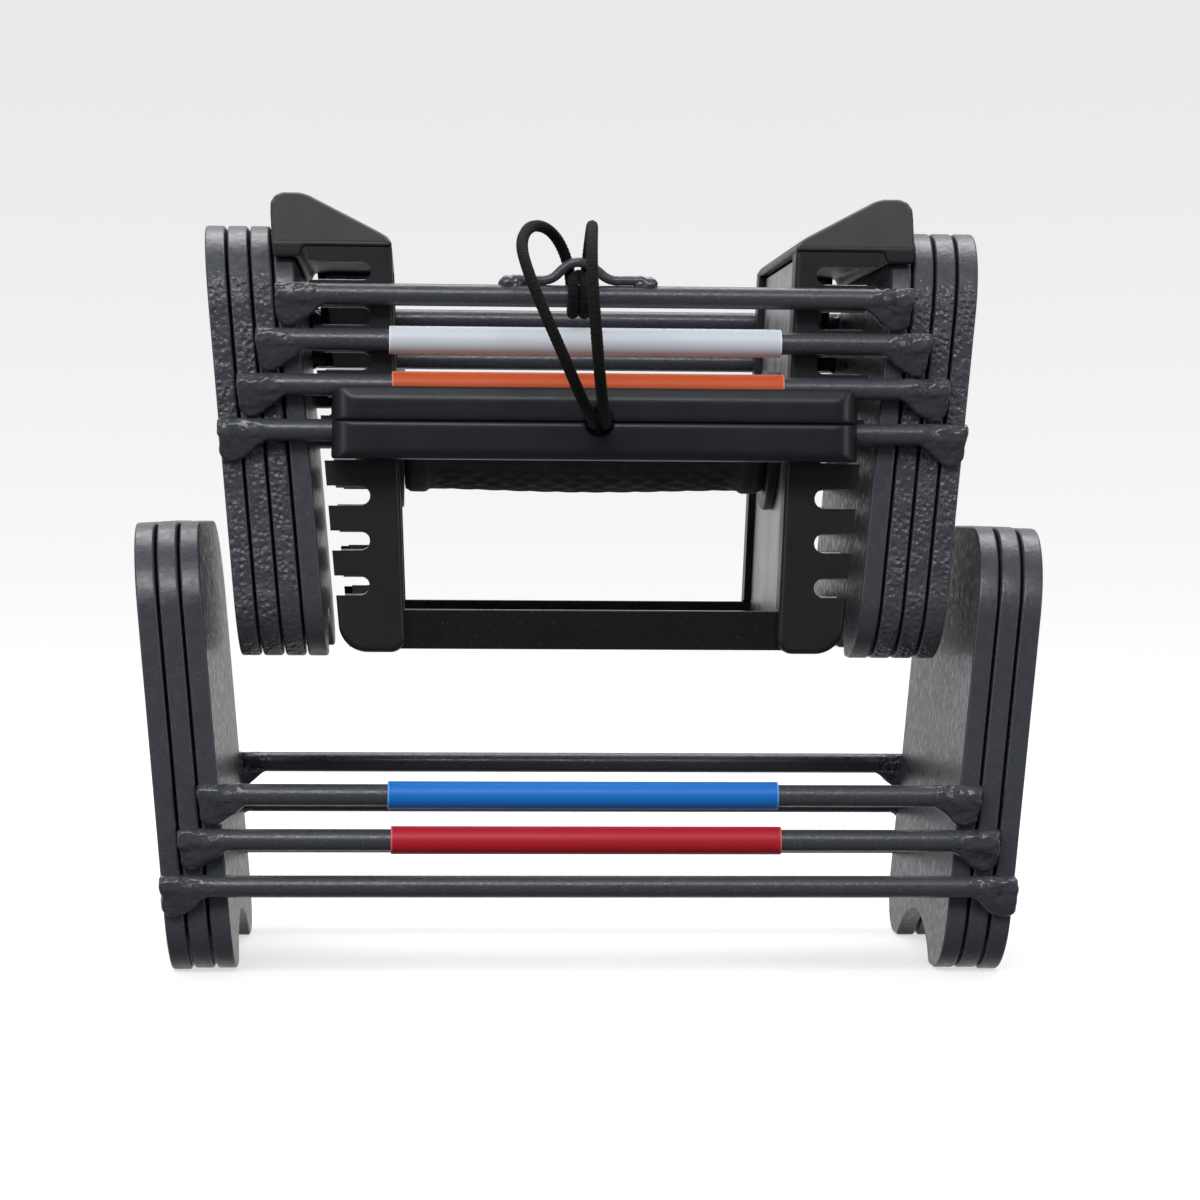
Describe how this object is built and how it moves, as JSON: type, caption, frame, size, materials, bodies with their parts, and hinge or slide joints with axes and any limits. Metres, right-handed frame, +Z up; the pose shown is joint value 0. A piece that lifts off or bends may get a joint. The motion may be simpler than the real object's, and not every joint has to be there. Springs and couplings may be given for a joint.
{
  "type": "adjustable dumbbell",
  "caption": "Adjustable dumbbell: a gripped handle core inside nesting weight frames, with a pronged selector pin on a lanyard that locks chosen frames to the handle.",
  "frame": {"origin": "on the floor, under the centre of the box round the solid pieces, at rest with the handle lifted", "axes": "+X along the grip, +Z up, the selector's bar on the -Y side"},
  "size_m": [0.2506, 0.1651, 0.2138],
  "materials": {
    "powder_coat": "satin powder coat with a fine speckle",
    "column_steel": "bright plated steel",
    "cover_plastic": "black moulded plastic with a fine grain",
    "grip_rubber": "soft black grip",
    "bolt_steel": "plated steel",
    "bar_paint": "gloss black paint",
    "selector_plastic": "black moulded plastic, semi-matt",
    "lanyard_cord": "braided black cord",
    "sleeve_white": "semi-gloss",
    "sleeve_orange": "semi-gloss",
    "sleeve_yellow": "semi-gloss",
    "sleeve_blue": "semi-gloss",
    "sleeve_red": "semi-gloss"
  },
  "bodies": {
    "frame_7": {"frame_7_plate_left": "powder_coat", "frame_7_plate_right": "powder_coat", "frame_7_rail_near": "powder_coat", "frame_7_rail_far": "powder_coat"},
    "frame_6": {"frame_6_plate_left": "powder_coat", "frame_6_plate_right": "powder_coat", "frame_6_rail_near": "powder_coat", "frame_6_rail_far": "powder_coat", "frame_6_sleeve": "sleeve_red"},
    "frame_5": {"frame_5_plate_left": "powder_coat", "frame_5_plate_right": "powder_coat", "frame_5_rail_near": "powder_coat", "frame_5_rail_far": "powder_coat", "frame_5_sleeve": "sleeve_blue"},
    "lifted_group": {"frame_1_plate_left": "powder_coat", "frame_1_plate_right": "powder_coat", "frame_1_rail_near": "powder_coat", "frame_1_rail_far": "powder_coat", "frame_2_plate_left": "powder_coat", "frame_2_plate_right": "powder_coat", "frame_2_rail_near": "powder_coat", "frame_2_rail_far": "powder_coat", "frame_2_sleeve": "sleeve_white", "frame_3_plate_left": "powder_coat", "frame_3_plate_right": "powder_coat", "frame_3_rail_near": "powder_coat", "frame_3_rail_far": "powder_coat", "frame_3_sleeve": "sleeve_orange", "frame_4_plate_left": "powder_coat", "frame_4_plate_right": "powder_coat", "frame_4_rail_near": "powder_coat", "frame_4_rail_far": "powder_coat", "frame_4_sleeve": "sleeve_yellow", "cord_clip": "powder_coat", "column_left": "column_steel", "column_right": "column_steel", "cover_near_left": "cover_plastic", "cover_near_right": "cover_plastic", "cover_far_left": "cover_plastic", "cover_far_right": "cover_plastic", "cap_left": "cover_plastic", "cap_right": "cover_plastic", "grip_tube": "column_steel", "grip_sleeve": "grip_rubber", "grip_flange_left": "cover_plastic", "grip_flange_right": "cover_plastic", "grip_bolts": "bolt_steel", "cross_bar_near": "bar_paint", "cross_bar_far": "bar_paint", "cross_bar_bolts": "bolt_steel", "lanyard_strand_left": "lanyard_cord", "lanyard_strand_right": "lanyard_cord", "lanyard_knot": "lanyard_cord"},
    "selector_pin": {"selector_lower": "selector_plastic", "selector_upper": "selector_plastic", "selector_rod": "bolt_steel"}
  },
  "joints": [
    {"name": "frame 6 lifts out of frame 7", "type": "slide", "parent": "frame_7", "child": "frame_6", "axis": [0, 0, 1], "range_m": [0, 0.13]},
    {"name": "frame 5 lifts out of frame 6", "type": "slide", "parent": "frame_6", "child": "frame_5", "axis": [0, 0, 1], "range_m": [0, 0.13]},
    {"name": "handle lift", "type": "slide", "parent": "frame_5", "child": "lifted_group", "axis": [0, 0, 1], "range_m": [-0.0863, 0.05]},
    {"name": "selector pull", "type": "slide", "parent": "lifted_group", "child": "selector_pin", "axis": [0, -1, 0], "range_m": [0, 0.12], "deforming": ["lanyard_strand_left", "lanyard_strand_right"]}
  ]
}
